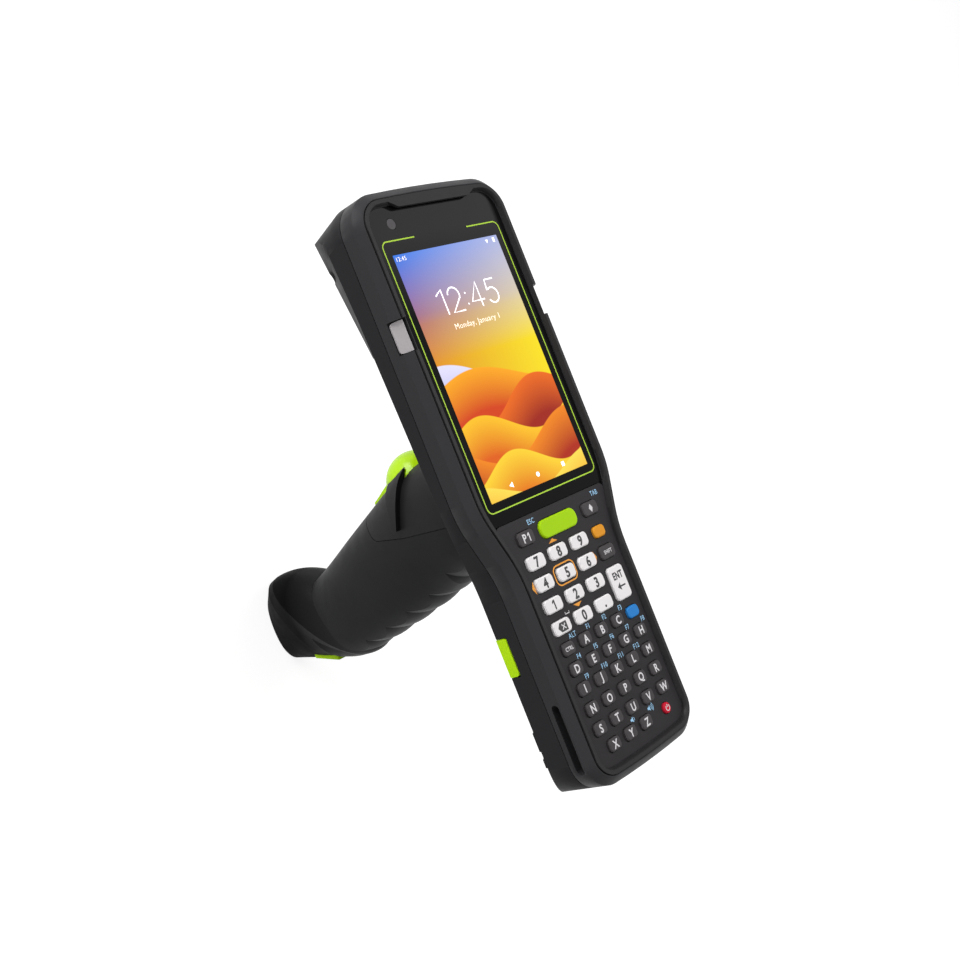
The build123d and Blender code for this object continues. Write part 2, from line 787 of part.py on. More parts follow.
def grip_hollow():
    """The inside of the grip, under its top plate."""
    form = loft([grip_section(section, -grip_wall) for section in column_sections[:-1]])
    return form - block(-head_half, head_half, keypad_end_y, head_end_y, back_z - grip_plate, seam_z)


def foot_form():
    """The foot: it flares from the column to a crease and draws in again to its flat base."""
    top = loft([grip_section(section) for section in foot_top_sections])
    low = loft([grip_section(section) for section in foot_top_sections[-1:] + foot_low_sections], ruled=True)
    return top + low


def palm_cut():
    """Everything behind the swells of the palm side, turned about an axis inside the grip."""
    (top_y, top_z), (low_y, low_z) = palm_creases[0], palm_creases[-1]
    down = Vector(low_y - top_y, low_z - top_z).normalized()
    outwards = Vector(down.Y, -down.X)
    swells = []
    for start, end in zip(palm_creases, palm_creases[1:]):
        middle = (Vector(*start) + Vector(*end)) * 0.5 + outwards * palm_bulge
        swells.append(ThreePointArc(start, middle, end))
    far = [Vector(*palm_creases[-1]) + outwards * beyond, Vector(*palm_creases[0]) + outwards * beyond]
    back = Polyline(palm_creases[-1], far[0], far[1], palm_creases[0])
    face = Plane.YZ * make_face([edge for swell in swells for edge in swell.edges()] + list(back.edges()))
    inside = Vector(*palm_creases[0]) - outwards * palm_radius
    axis = Axis((0, inside.X, inside.Y), (0, down.X, down.Y))
    return revolve(face.rotate(axis, -palm_angle), axis, revolution_arc=2 * palm_angle)


def neck_region(gap=0.0):
    """Everything in front of the joint between the neck and the handle."""
    right_y, top_z = head_end_y, back_z + beyond
    points = [
        (handle_start_y, top_z),
        joint_waist,
        joint_corner,
        joint_front,
        (right_y, joint_front[1] + joint_front[0] / 2),
        (right_y, top_z),
    ]
    face = make_face(Polyline(*points, close=True))
    corner = face.vertices().sort_by_distance(Vector(*joint_corner, 0))[0]
    face = Plane.YZ * fillet(corner, joint_radius)
    return Pos(0, -gap, -gap) * extrude(face, amount=head_half, both=True)


def finger_ridges():
    """A raised band on each side of the trigger."""
    band = side_profile(ridge_upper + ridge_lower, head_half)
    band -= block(-ridge_inner_x, ridge_inner_x, keypad_end_y, head_end_y, foot_z, 0)
    return (grip_form(ridge_height) & band & neck_region()) - grip_hollow()


def trigger_opening():
    """The opening in the front of the neck for the dome and the blade of the trigger."""
    dome = Pos(0, dome_y, dome_z) * Sphere(dome_radius + dome_gap)
    front = head_end_y
    slot = side_profile(
        [
            (dome_y, dome_z),
            (front, dome_z),
            (front, blade_front[-1][1] - 2 * blade_gap),
            (dome_y + 2 * blade_front[-1][0], blade_front[-1][1] - 2 * blade_gap),
        ],
        blade_half + blade_gap,
    )
    slot &= block(-head_half, head_half, joint_corner[0] - 1, front, foot_z, 0)
    return [dome, slot]


def trigger_bosses():
    """The bosses inside the neck that hold the pivot pin."""
    return both_sides(rod_x(boss_radius, boss_inner_x, boss_outer_x, pivot_y, pivot_z))


def switch_rib():
    """The rib inside the neck that carries the trigger switch."""
    top_z = back_z - grip_plate / 2
    return block(-rib_half, rib_half, rib_front_y - rib_thickness, rib_front_y, rib_low_z, top_z)


def grip_neck():
    """The front part of the grip, round the trigger."""
    neck = grip_form() - (grip_hollow() - trigger_bosses() - switch_rib())
    neck -= rod_x(pin_radius + pin_fit, -pin_half, pin_half, pivot_y, pivot_z)
    neck -= grip_screw_holes(back_z - grip_screw_reach, back_z)
    neck -= rod_z(cable_hole_radius, 0, cable_hole_y, back_z - grip_plate, back_z)
    neck &= neck_region()
    neck += finger_ridges()
    return neck - trigger_opening()


def clip_line(z):
    """Where the clip's outer face runs at a height."""
    (top_y, top_z), (low_y, low_z) = clip_top, clip_foot
    return top_y + (low_y - top_y) * (top_z - z) / (top_z - low_z)


def leaning_slot(high_z, low_z, front_depth, rear_depth, half):
    """A body parallel to the clip's outer face, between two heights and two depths behind it."""
    points = [
        (clip_line(high_z) + rear_depth, high_z),
        (clip_line(high_z) + front_depth, high_z),
        (clip_line(low_z) + front_depth, low_z),
        (clip_line(low_z) + rear_depth, low_z),
    ]
    return side_profile(points, half)


def grip_handle():
    """The rear part of the grip, with the foot that the terminal stands on."""
    handle = grip_form() - grip_hollow() - neck_region(joint_gap) - palm_cut() + foot_form()
    handle -= leaning_slot(channel_top_z, channel_low_z, clip_thickness + channel_depth, -beyond, channel_half)
    handle -= leaning_slot(
        clip_top[1] + clip_fit, clip_foot[1] - clip_fit,
        clip_thickness + clip_fit, -beyond,
        clip_half + clip_fit,
    )
    return handle - grip_screw_holes(back_z - grip_screw_reach, back_z)


def lanyard_clip():
    """The bar that closes the lanyard passage at the back."""
    return leaning_slot(clip_top[1], clip_foot[1], clip_thickness, 0, clip_half)


def trigger():
    """The domed trigger with its blade, and the arm up to the pivot."""
    dome = Pos(0, dome_y, dome_z) * Sphere(dome_radius)
    dome &= block(-head_half, head_half, dome_rear_y, head_end_y, foot_z, 0)
    rear_line = [(y - blade_depth, z) for y, z in reversed(blade_front)]
    blade = side_profile(list(blade_front) + rear_line, blade_half)
    arm_points = [
        (pivot_y - arm_radius, pivot_z),
        (pivot_y + arm_radius, pivot_z),
        (pivot_y + 2 * arm_radius, dome_z + dome_radius / 2),
        (dome_rear_y, dome_z + dome_radius / 2),
    ]
    arm_face = Plane.YZ.offset(arm_left_x) * make_face(Polyline(*arm_points, close=True))
    arm = extrude(arm_face, amount=arm_right_x - arm_left_x)
    arm += rod_x(arm_radius, arm_left_x, arm_right_x, pivot_y, pivot_z)
    body = dome + blade + arm
    return body - rod_x(pin_radius + pin_fit, -pin_half, pin_half, pivot_y, pivot_z)


def trigger_pin():
    """The pin on which the trigger swings."""
    return rod_x(pin_radius, -pin_half, pin_half, pivot_y, pivot_z)


def trigger_spring():
    """The torsion spring on the pin, with one leg on the rib and one behind the arm."""
    coil = rod_x(spring_radius, spring_left_x, spring_right_x, pivot_y, pivot_z)
    coil -= rod_x(pin_radius + pin_fit, spring_left_x, spring_right_x, pivot_y, pivot_z)
    fixed_leg = block(
        spring_right_x - spring_wire, spring_right_x,
        rib_front_y, pivot_y,
        pivot_z + spring_radius - spring_wire, pivot_z + spring_radius,
    )
    low_z = pivot_z - spring_leg_drop
    rear_y = pivot_y - spring_radius
    free_leg = block(spring_left_x, spring_left_x + spring_wire, rear_y, rear_y + spring_wire, low_z, pivot_z)
    return coil + fixed_leg + free_leg


def trigger_switch():
    """The switch on the rib, with its plunger towards the trigger."""
    front_y = rib_front_y + switch_depth
    body = block(-switch_half, switch_half, rib_front_y, front_y, switch_low_z, switch_high_z)
    plane = Plane((0, front_y, (switch_low_z + switch_high_z) / 2), z_dir=(0, 1, 0))
    return body + extrude(plane * Circle(plunger_radius), amount=plunger_reach)


def all_pieces():
    """Every node of the terminal by name, in the face frame."""
    pieces = {
        "front_housing": front_housing(),
        "front_bezel": front_bezel(),
        "housing_gasket": housing_gasket(),
        "rear_housing": rear_housing(),
        "display_glass": display_glass(),
        "display_module": display_module(),
        "light_sensor": light_sensor(),
        "speaker": speaker(),
        "chassis_frame": chassis_frame(),
        "main_board": main_board(),
        "keypad_plate": keypad_plate(),
        "key_mat": key_mat(),
        "side_key_left": side_key(-1),
        "side_key_right": side_key(1),
        "scan_window": scan_window(),
        "scan_engine": scan_engine(),
        "battery_pack": battery_pack(),
        "battery_cells": battery_cells(),
        "battery_latch_left": battery_latch(-1),
        "battery_latch_right": battery_latch(1),
        "battery_contacts": battery_contact_block(),
        "charge_contacts": Compound(contact_pads()),
        "housing_screws": housing_screws(),
        "grip_screws": grip_screws(),
        "grip_neck": grip_neck(),
        "grip_handle": grip_handle(),
        "lanyard_clip": lanyard_clip(),
        "trigger": trigger(),
        "trigger_pin": trigger_pin(),
        "trigger_spring": trigger_spring(),
        "trigger_switch": trigger_switch(),
    }
    for name, (size, places) in key_layout().items():
        cap = key_cap(size)
        pieces[name] = Compound([Pos(x, y, 0) * cap for x, y in places])
    return pieces


os.makedirs("parts", exist_ok=True)
standing = Pos(0, -case_middle_y, -foot_z)
for node, piece in all_pieces().items():
    export_step(standing * piece, f"parts/{node}.step")
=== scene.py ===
import bpy
import bmesh
import json
from math import cos, hypot, pi, radians, sin
from mathutils import Matrix, Vector

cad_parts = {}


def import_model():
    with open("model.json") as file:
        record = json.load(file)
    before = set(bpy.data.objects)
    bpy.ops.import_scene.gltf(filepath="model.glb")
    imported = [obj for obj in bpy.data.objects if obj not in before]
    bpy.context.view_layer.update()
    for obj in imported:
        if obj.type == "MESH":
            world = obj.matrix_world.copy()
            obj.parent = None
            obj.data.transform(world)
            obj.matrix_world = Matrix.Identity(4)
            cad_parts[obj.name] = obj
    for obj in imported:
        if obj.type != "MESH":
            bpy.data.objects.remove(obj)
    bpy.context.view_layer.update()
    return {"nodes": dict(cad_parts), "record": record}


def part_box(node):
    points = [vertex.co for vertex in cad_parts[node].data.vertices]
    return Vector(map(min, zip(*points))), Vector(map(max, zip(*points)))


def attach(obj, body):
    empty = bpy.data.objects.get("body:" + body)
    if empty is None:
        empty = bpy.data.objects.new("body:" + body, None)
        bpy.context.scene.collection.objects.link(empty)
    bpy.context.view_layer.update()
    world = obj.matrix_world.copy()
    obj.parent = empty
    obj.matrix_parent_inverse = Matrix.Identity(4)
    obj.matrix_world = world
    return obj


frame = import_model()

MM = 0.001
BODY = "terminal"               # the body that all fixed pieces ride on
PRINT = 0.03                    # thickness of printed marks, in mm
LIFT = 0.01                     # how far a print's underside stands off, in mm

# The face frame: millimetres from the middle of the display, on top of the glass.
module_low, module_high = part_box("display_module")
glass_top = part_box("display_glass")[1].z
ORIGIN = Vector(((module_low.x + module_high.x) / 2, (module_low.y + module_high.y) / 2, glass_top))


def at(x, y, z=0.0):
    """A point of the face frame, in metres in the row frame."""
    return ORIGIN + Vector((x, y, z)) * MM


def face_box(node):
    """A CAD node's corners in the face frame, in mm."""
    low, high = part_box(node)
    return (low - ORIGIN) / MM, (high - ORIGIN) / MM


def linear(srgb):
    """Linear colour from 0-255 sRGB values, by the standard's two-part curve."""
    parts = [c / 255 for c in srgb]
    return tuple(c / 12.92 if c <= 0.04045 else ((c + 0.055) / 1.055) ** 2.4 for c in parts) + (1.0,)


# ---------------------------------------------------------------- shader nodes

NOISE_LOW, NOISE_HIGH = 0.3, 0.7        # most of a noise's values lie between these
GRAIN_DETAIL = 4.0                      # extra octaves in moulded grain


def new_material(name):
    """An empty node material and its Principled shader."""
    material = bpy.data.materials.new(name)
    material.use_nodes = True
    return material, material.node_tree, material.node_tree.nodes["Principled BSDF"]


def feed(tree, socket, value):
    """Links a socket to this one, or writes a number or colour in it."""
    if isinstance(value, bpy.types.NodeSocket):
        tree.links.new(value, socket)
    else:
        socket.default_value = value


def math_node(tree, operation, a, b=None, clamp=False):
    """A Math node of one or two values, each a number or a socket."""
    node = tree.nodes.new("ShaderNodeMath")
    node.operation = operation
    node.use_clamp = clamp
    for socket, value in zip(node.inputs, (a, b)):
        if value is not None:
            feed(tree, socket, value)
    return node.outputs[0]


def remap(tree, value, from_low, from_high, to_low=0.0, to_high=1.0):
    """Maps one range of a value to another and stops at its ends."""
    node = tree.nodes.new("ShaderNodeMapRange")
    node.inputs["From Min"].default_value = from_low
    node.inputs["From Max"].default_value = from_high
    node.inputs["To Min"].default_value = to_low
    node.inputs["To Max"].default_value = to_high
    tree.links.new(value, node.inputs["Value"])
    return node.outputs["Result"]


def blend(tree, factor, a, b):
    """A colour between a and b, each a linear colour or a socket."""
    node = tree.nodes.new("ShaderNodeMix")
    node.data_type = "RGBA"
    tree.links.new(factor, node.inputs["Factor"])
    feed(tree, node.inputs["A"], a)
    feed(tree, node.inputs["B"], b)
    return node.outputs["Result"]


def object_place(tree):
    """Coordinates on the object, which are metres of the row frame, as X, Y and Z."""
    coords = tree.nodes.new("ShaderNodeTexCoord")
    split = tree.nodes.new("ShaderNodeSeparateXYZ")
    tree.links.new(coords.outputs["Object"], split.inputs["Vector"])
    return split.outputs


def noise_node(tree, size_mm, detail=2.0):
    """Noise with features of about this size on the object."""
    coords = tree.nodes.new("ShaderNodeTexCoord")
    noise = tree.nodes.new("ShaderNodeTexNoise")
    noise.inputs["Scale"].default_value = 1 / (size_mm * MM)
    noise.inputs["Detail"].default_value = detail
    tree.links.new(coords.outputs["Object"], noise.inputs["Vector"])
    return noise.outputs["Fac"]


def mottle(tree, colour, amount, size_mm):
    """The colour with faint lighter and darker patches."""
    darker = [c * (1 - amount) for c in colour[:3]] + [1]
    lighter = [min(1, c * (1 + amount)) for c in colour[:3]] + [1]
    return blend(tree, noise_node(tree, size_mm), darker, lighter)


def uneven_gloss(tree, shader, low, high, size_mm):
    """Roughness that wanders between two values over this length."""
    gloss = remap(tree, noise_node(tree, size_mm), NOISE_LOW, NOISE_HIGH, low, high)
    tree.links.new(gloss, shader.inputs["Roughness"])


def bump(tree, shader, size_mm, depth_mm):
    """Fine moulded grain."""
    node = tree.nodes.new("ShaderNodeBump")
    node.inputs["Distance"].default_value = depth_mm * MM
    node.inputs["Strength"].default_value = 1.0
    tree.links.new(noise_node(tree, size_mm, GRAIN_DETAIL), node.inputs["Height"])
    tree.links.new(node.outputs["Normal"], shader.inputs["Normal"])


# ---------------------------------------------------------------- materials

# How much each kind of surface varies in colour, and over how many mm.
PLASTIC_PATCHES = (0.06, 14)
METAL_PATCHES = (0.08, 3)
GLASS_PATCHES = (0.05, 20)
INK_PATCHES = (0.05, 0.5)
LIT_PATCHES = (0.02, 1.0)

# How far roughness wanders either way, and over how many mm.
PLASTIC_WANDER, PLASTIC_GLOSS_MM = 0.05, 6
METAL_WANDER, METAL_GLOSS_MM = 0.06, 0.6
GLASS_ROUGHNESS, GLASS_GLOSS_MM = (0.09, 0.13), 9
INK_ROUGHNESS, SCREEN_ROUGHNESS = 0.5, 0.12

LOW_SHEEN = 0.01                        # reflection level at the end of a piece darkened by painted shade
# The cover glass's reflection level: the least, and how much more the painted sheen adds at most.
GLASS_SHEEN_LEAST, GLASS_SHEEN_MORE = 0.06, 0.24
PAINTED_SHEEN_TOP = (22, 50)                  # the painted sheen on the cover glass grows between these heights
PAINTED_SHADE_RIGHT = (29.8, 28.2)            # and grows inwards from the right edge, leaving painted shade along it


def plastic(name, srgb, roughness, grain_mm=0.35, depth_mm=0.02, specular=0.14):
    """Moulded plastic with spark-eroded grain and slightly uneven gloss."""
    material, tree, shader = new_material(name)
    shader.inputs["Specular IOR Level"].default_value = specular
    tree.links.new(mottle(tree, linear(srgb), *PLASTIC_PATCHES), shader.inputs["Base Color"])
    uneven_gloss(tree, shader, roughness - PLASTIC_WANDER, roughness + PLASTIC_WANDER, PLASTIC_GLOSS_MM)
    bump(tree, shader, grain_mm, depth_mm)
    return material


def metal(name, srgb, roughness):
    """Machined or plated metal with fine scratches."""
    material, tree, shader = new_material(name)
    shader.inputs["Metallic"].default_value = 1.0
    tree.links.new(mottle(tree, linear(srgb), *METAL_PATCHES), shader.inputs["Base Color"])
    uneven_gloss(tree, shader, roughness - METAL_WANDER, roughness + METAL_WANDER, METAL_GLOSS_MM)
    return material


def painted_shade_towards_foot(material, srgb, high_mm, low_mm):
    """Paints shade on a piece towards its foot: between two heights of the face frame its colour
    darkens and its reflection fades.
    """
    tree, shader = material.node_tree, material.node_tree.nodes["Principled BSDF"]
    colour, level = shader.inputs["Base Color"], shader.inputs["Specular IOR Level"]
    depth = remap(tree, object_place(tree)["Z"], at(0, 0, high_mm).z, at(0, 0, low_mm).z)
    darker = blend(tree, depth, colour.links[0].from_socket, linear(srgb))
    tree.links.new(darker, colour)
    tree.links.new(remap(tree, depth, 0.0, 1.0, level.default_value, LOW_SHEEN), level)
    return material


def gloss_panel(name, srgb):
    """Dark printed glass: smooth, with a trace of unevenness in its gloss."""
    material, tree, shader = new_material(name)
    tree.links.new(mottle(tree, linear(srgb), *GLASS_PATCHES), shader.inputs["Base Color"])
    uneven_gloss(tree, shader, *GLASS_ROUGHNESS, GLASS_GLOSS_MM)
    return material


def glass_with_painted_sheen(name, srgb):
    """Cover glass with painted reflection: a painted sheen strongest at the top, and painted shade
    where it reflects least along the right edge.
    """
    material = gloss_panel(name, srgb)
    tree, shader = material.node_tree, material.node_tree.nodes["Principled BSDF"]
    place = object_place(tree)
    upwards = remap(tree, place["Y"], *(at(0, y).y for y in PAINTED_SHEEN_TOP))
    inwards = remap(tree, place["X"], *(at(x, 0).x for x in PAINTED_SHADE_RIGHT))
    level = math_node(tree, "MULTIPLY", upwards, inwards)
    level = math_node(tree, "MULTIPLY", level, GLASS_SHEEN_MORE)
    level = math_node(tree, "ADD", level, GLASS_SHEEN_LEAST)
    tree.links.new(level, shader.inputs["Specular IOR Level"])
    return material


def print_ink(name, srgb):
    """Screen-printed ink, a little uneven."""
    material, tree, shader = new_material(name)
    tree.links.new(mottle(tree, linear(srgb), *INK_PATCHES), shader.inputs["Base Color"])
    shader.inputs["Roughness"].default_value = INK_ROUGHNESS
    return material


def lit_ink(name, srgb, strength=0.9):
    """A lit mark on the display."""
    material, tree, shader = new_material(name)
    colour = mottle(tree, linear(srgb), *LIT_PATCHES)
    tree.links.new(colour, shader.inputs["Base Color"])
    tree.links.new(colour, shader.inputs["Emission Color"])
    shader.inputs["Emission Strength"].default_value = strength
    shader.inputs["Roughness"].default_value = SCREEN_ROUGHNESS
    return material


CHARCOAL = (44, 44, 46)
LIME = (190, 240, 12)
HANDLE_PAINTED_SHADE = (-120, -142)           # heights between which painted shade darkens the handle

# Each finish: its name, sRGB colour and roughness; for some plastics then the grain's size and
# depth in mm.
MATERIALS = {
    "front_case": plastic("front_case", CHARCOAL, 0.42),
    "rear_case": plastic("rear_case", (29, 29, 31), 0.46, specular=0.12),
    "bezel": plastic("bezel", (40, 39, 40), 0.40),
    "gasket": plastic("gasket", (18, 18, 20), 0.70),
    "cover_glass": glass_with_painted_sheen("cover_glass", (15, 14, 15)),
    "display": gloss_panel("display", (20, 24, 40)),
    "sensor_lens": plastic("sensor_lens", (84, 82, 84), 0.25, 0.8, 0.004),
    "speaker": plastic("speaker", (24, 24, 26), 0.6),
    # The chassis is dark so that the thin gap where it shows reads as a dark line: painted shade.
    "chassis": metal("chassis", (52, 52, 54), 0.5),
    "board": plastic("board", (30, 80, 55), 0.4),
    "keypad_plate": plastic("keypad_plate", (37, 35, 37), 0.46, 0.4, 0.015),
    "key_mat": plastic("key_mat", (30, 30, 32), 0.7),
    "side_key": plastic("side_key", (164, 160, 162), 0.45),
    "scan_window": gloss_panel("scan_window", (60, 8, 12)),
    "scan_engine": plastic("scan_engine", (22, 22, 24), 0.5),
    "battery_case": plastic("battery_case", CHARCOAL, 0.5),
    "battery_cells": metal("battery_cells", (160, 160, 165), 0.3),
    "latch": plastic("latch", LIME, 0.38),
    "contact_block": plastic("contact_block", (36, 36, 38), 0.5),
    "contacts": metal("contacts", (222, 182, 96), 0.25),
    "screws": metal("screws", (90, 90, 92), 0.35),
    "grip_neck": plastic("grip_neck", (32, 31, 32), 0.44, specular=0.11),
    # The handle darkens towards its foot, to the second colour: painted shade.
    "grip_handle": painted_shade_towards_foot(
        plastic("grip_handle", (26, 26, 27), 0.42, specular=0.11), (13, 13, 14), *HANDLE_PAINTED_SHADE
    ),
    "trigger": plastic("trigger", LIME, 0.24, 0.5, 0.004, specular=0.3),
    "pin": metal("pin", (170, 170, 172), 0.3),
    "spring": metal("spring", (150, 150, 155), 0.3),
    "switch": plastic("switch", (28, 28, 30), 0.5),
    "grey_key": plastic("grey_key", (66, 63, 65), 0.45),
    "white_key": plastic("white_key", (236, 233, 234), 0.42),
    "lime_key": plastic("lime_key", (166, 213, 10), 0.40),
    "orange_key": plastic("orange_key", (224, 150, 42), 0.42),
    "blue_key": plastic("blue_key", (44, 126, 200), 0.42),
    "red_key": plastic("red_key", (200, 30, 54), 0.38),
}
INK = {
    "light": print_ink("ink_light", (216, 214, 216)),
    "dark": print_ink("ink_dark", (30, 30, 32)),
    "blue": print_ink("ink_blue", (156, 204, 238)),
    "orange": print_ink("ink_orange", (236, 156, 40)),
    "lime": print_ink("ink_lime", (170, 210, 40)),
    "screen": lit_ink("ink_screen", (250, 248, 252)),
    "screen_soft": lit_ink("ink_screen_soft", (248, 238, 222), 0.78),
}


# ---------------------------------------------------------------- CAD nodes

WELD_MM = 0.005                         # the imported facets' corners meet within this
SHARP = 35                              # an edge is rounded above this angle, in degrees
KEY_EDGE, KEY_SEGMENTS = 0.5, 3
EDGES = {                               # width of the rounding on each of these, in mm
    "front_housing": 0.5, "rear_housing": 0.6, "front_bezel": 0.5,
    "battery_pack": 0.3, "battery_latch_left": 0.4, "battery_latch_right": 0.4,
    "side_key_left": 0.3, "side_key_right": 0.3, "lanyard_clip": 0.5,
}


def soften(piece, width_mm, segments=2):
    """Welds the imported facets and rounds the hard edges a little."""
    weld = piece.modifiers.new("weld", "WELD")
    weld.merge_threshold = WELD_MM * MM
    rounding = piece.modifiers.new("rounding", "BEVEL")
    rounding.width = width_mm * MM
    rounding.segments = segments
    rounding.limit_method = "ANGLE"
    rounding.angle_limit = radians(SHARP)
    rounding.harden_normals = True


def is_key(name):
    """Whether a node is a key of the keypad or a row of them."""
    return name.startswith("keys_") or (name.startswith("key_") and name != "key_mat")


def dress_nodes():
    """Gives every CAD node its finish, and rounds the edges of the keys and of those in EDGES."""
    slots = {entry["node"]: entry["material_slot"] for entry in frame["record"]["subparts"]}
    for name, node in frame["nodes"].items():
        node.data.materials.clear()
        node.data.materials.append(MATERIALS[slots[name]])
        if name in EDGES:
            soften(node, EDGES[name])
        if is_key(name):
            soften(node, KEY_EDGE, KEY_SEGMENTS)


# ---------------------------------------------------------------- printed pieces

CAP_SHARE = 0.7                         # height of a capital, as a share of the font's size
LETTER_SPACING = 1.08
CURVE_STEPS = 3                         # points on each curve of a letter


def linked(name, mesh, material):
    """An object of one material in the scene."""
    mesh.materials.append(material)
    piece = bpy.data.objects.new(name, mesh)
    bpy.context.scene.collection.objects.link(piece)
    return piece


def piece_from(name, verts, faces, material, body):
    """A mesh piece riding on a body."""
    mesh = bpy.data.meshes.new(name)
    mesh.from_pydata(verts, [], faces)
    piece = linked(name, mesh, material)
    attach(piece, body)
    return piece


def decal(name, outlines, z, material, body):
    """Thin flat shapes of one ink: each outline is a list of (x, y) points in mm, at a height."""
    verts, faces = [], []
    for points in outlines:
        count, start = len(points), len(verts)
        verts += [at(x, y, z + LIFT) for x, y in points]
        verts += [at(x, y, z + LIFT + PRINT) for x, y in points]
        faces.append([start + i for i in reversed(range(count))])
        faces.append([start + count + i for i in range(count)])
        for i in range(count):
            j = (i + 1) % count
            faces.append([start + i, start + j, start + count + j, start + count + i])
    return piece_from(name, verts, faces, material, body)


def text_meshes(labels, z, weight):
    """One mesh of several words: each label is (text, x, y, height in mm, width share), centred."""
    joined = bmesh.new()
    for text, x, y, height, share in labels:
        curve = bpy.data.curves.new("label", "FONT")
        curve.body = text
        curve.size = height / CAP_SHARE * MM
        curve.align_x = "CENTER"
        curve.align_y = "CENTER"
        curve.extrude = PRINT / 2 * MM
        curve.offset = weight * height * MM
        curve.space_character = LETTER_SPACING
        curve.resolution_u = CURVE_STEPS
        holder = bpy.data.objects.new("label", curve)
        mesh = bpy.data.meshes.new_from_object(holder)
        low = Vector(map(min, zip(*(v.co for v in mesh.vertices))))
        high = Vector(map(max, zip(*(v.co for v in mesh.vertices))))
        centre = (low + high) / 2
        place = Matrix.Translation(at(x, y, z + LIFT + PRINT / 2)) @ Matrix.Diagonal((share, 1, 1, 1))
        mesh.transform(place @ Matrix.Translation(-centre))
        joined.from_mesh(mesh)
        bpy.data.objects.remove(holder)
        bpy.data.curves.remove(curve)
        bpy.data.meshes.remove(mesh)
    return joined


def lettering(name, labels, z, material, body, weight=0.03):
    """Printed words as one piece; the weight thickens their lines by a share of their height."""
    joined = text_meshes(labels, z, weight)
    mesh = bpy.data.meshes.new(name)
    joined.to_mesh(mesh)
    joined.free()
    piece = linked(name, mesh, material)
    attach(piece, body)
    return piece


# ---------------------------------------------------------------- outlines, in mm

SIN_45 = 0.7071


def arc(x, y, radius, start, end, count=8):
    """Points on a circle between two angles in degrees."""
    angles = [radians(start + (end - start) * i / count) for i in range(count + 1)]
    return [(x + radius * cos(a), y + radius * sin(a)) for a in angles]


def stroke(points, width, closed=False):
    """A band of one width along a line, as one quad for each stretch between two points."""
    count = len(points)
    quads, offsets = [], []
    for i in range(count):
        before = points[i - 1] if closed or i else points[i]
        after = points[(i + 1) % count] if closed or i < count - 1 else points[i]
        dx, dy = after[0] - before[0], after[1] - before[1]
        length = hypot(dx, dy)
        offsets.append((-dy / length * width / 2, dx / length * width / 2))
    last = count if closed else count - 1
    for i in range(last):
        j = (i + 1) % count
        (x0, y0), (x1, y1) = points[i], points[j]
        (a, b), (c, d) = offsets[i], offsets[j]
        quads.append([(x0 - a, y0 - b), (x1 - c, y1 - d), (x1 + c, y1 + d), (x0 + a, y0 + b)])
    return quads


def rounded_line(low_x, low_y, high_x, high_y, radius):
    """The line of a rectangle with round corners."""
    return (
        arc(high_x - radius, high_y - radius, radius, 0, 90)
        + arc(low_x + radius, high_y - radius, radius, 90, 180)
        + arc(low_x + radius, low_y + radius, radius, 180, 270)
        + arc(high_x - radius, low_y + radius, radius, 270, 360)
    )


def triangle(x, y, size, angle):
    """A small triangle pointing at an angle in degrees."""
    corners = [radians(angle + turn) for turn in (0, 125, 235)]
    return [(x + size * cos(a), y + size * sin(a)) for a in corners]


def figure_one(x, y, height, width):
    """A figure 1 with its flag, as one outline round its stem."""
    top, low, half = y + height / 2, y - height / 2, width / 2
    flag_x, flag_y = x - height * 0.30, top - height * 0.20
    return [[
        (x - half, low), (x + half, low), (x + half, top), (x - half, top),
        (flag_x, flag_y), (flag_x, flag_y - width), (x - half, top - width * 1.3),
    ]]


def arrow_left(x, y, length, width, head):
    """An arrow to the left from its tip, as one outline."""
    half, barb = width / 2, head * 0.8
    return [[
        (x, y), (x + head, y - barb), (x + head, y - half), (x + length, y - half),
        (x + length, y + half), (x + head, y + half), (x + head, y + barb),
    ]]


def cross(x, y, reach, width):
    """A diagonal cross whose strokes meet without overlapping."""
    near = width / 2 * SIN_45
    whole = stroke([(x - reach, y - reach), (x + reach, y + reach)], width)
    upper = stroke([(x - near, y + near), (x - reach, y + reach)], width)
    lower = stroke([(x + near, y - near), (x + reach, y - reach)], width)
    return whole + upper + lower


def speaker_mark(x, y, waves):
    """A small loudspeaker with sound waves."""
    back, neck, mouth = x - 1.2, x - 0.6, x + 0.2
    narrow, wide = 0.4, 1.0
    marks = [[
        (back, y - narrow), (neck, y - narrow), (mouth, y - wide),
        (mouth, y + wide), (neck, y + narrow), (back, y + narrow),
    ]]
    first, apart, line = 0.7, 0.55, 0.22
    for i in range(waves):
        marks += stroke(arc(mouth, y, first + apart * i, -50, 50, 6), line)
    return marks


def chevron(x, y, way, across):
    """A flat triangle: it points up or down, or, if across is 1, to a side."""
    half, base, tip = 2.3, -0.5, 0.8
    points = [(-half, base * way), (half, base * way), (0.0, tip * way)]
    return [(x + b, y + a) if across else (x + a, y + b) for a, b in points]


# ---------------------------------------------------------------- keypad legends

KEY_TOP = face_box("key_5")[1].z
PLATE_TOP = face_box("keypad_plate")[1].z
WHITE_KEYS = {
    "key_7": "7", "key_8": "8", "key_9": "9", "key_4": "4", "key_5": "5", "key_6": "6",
    "key_2": "2", "key_3": "3", "key_0": "0",
}
LETTER_ROWS = {
    "keys_a_to_c": "ABC", "keys_d_to_h": "DEFGH", "keys_i_to_m": "IJKLM",
    "keys_n_to_r": "NOPQR", "keys_s_to_w": "STUVW", "keys_x_to_z": "XYZ",
}
LETTER_KEY_WIDTH = 6.2

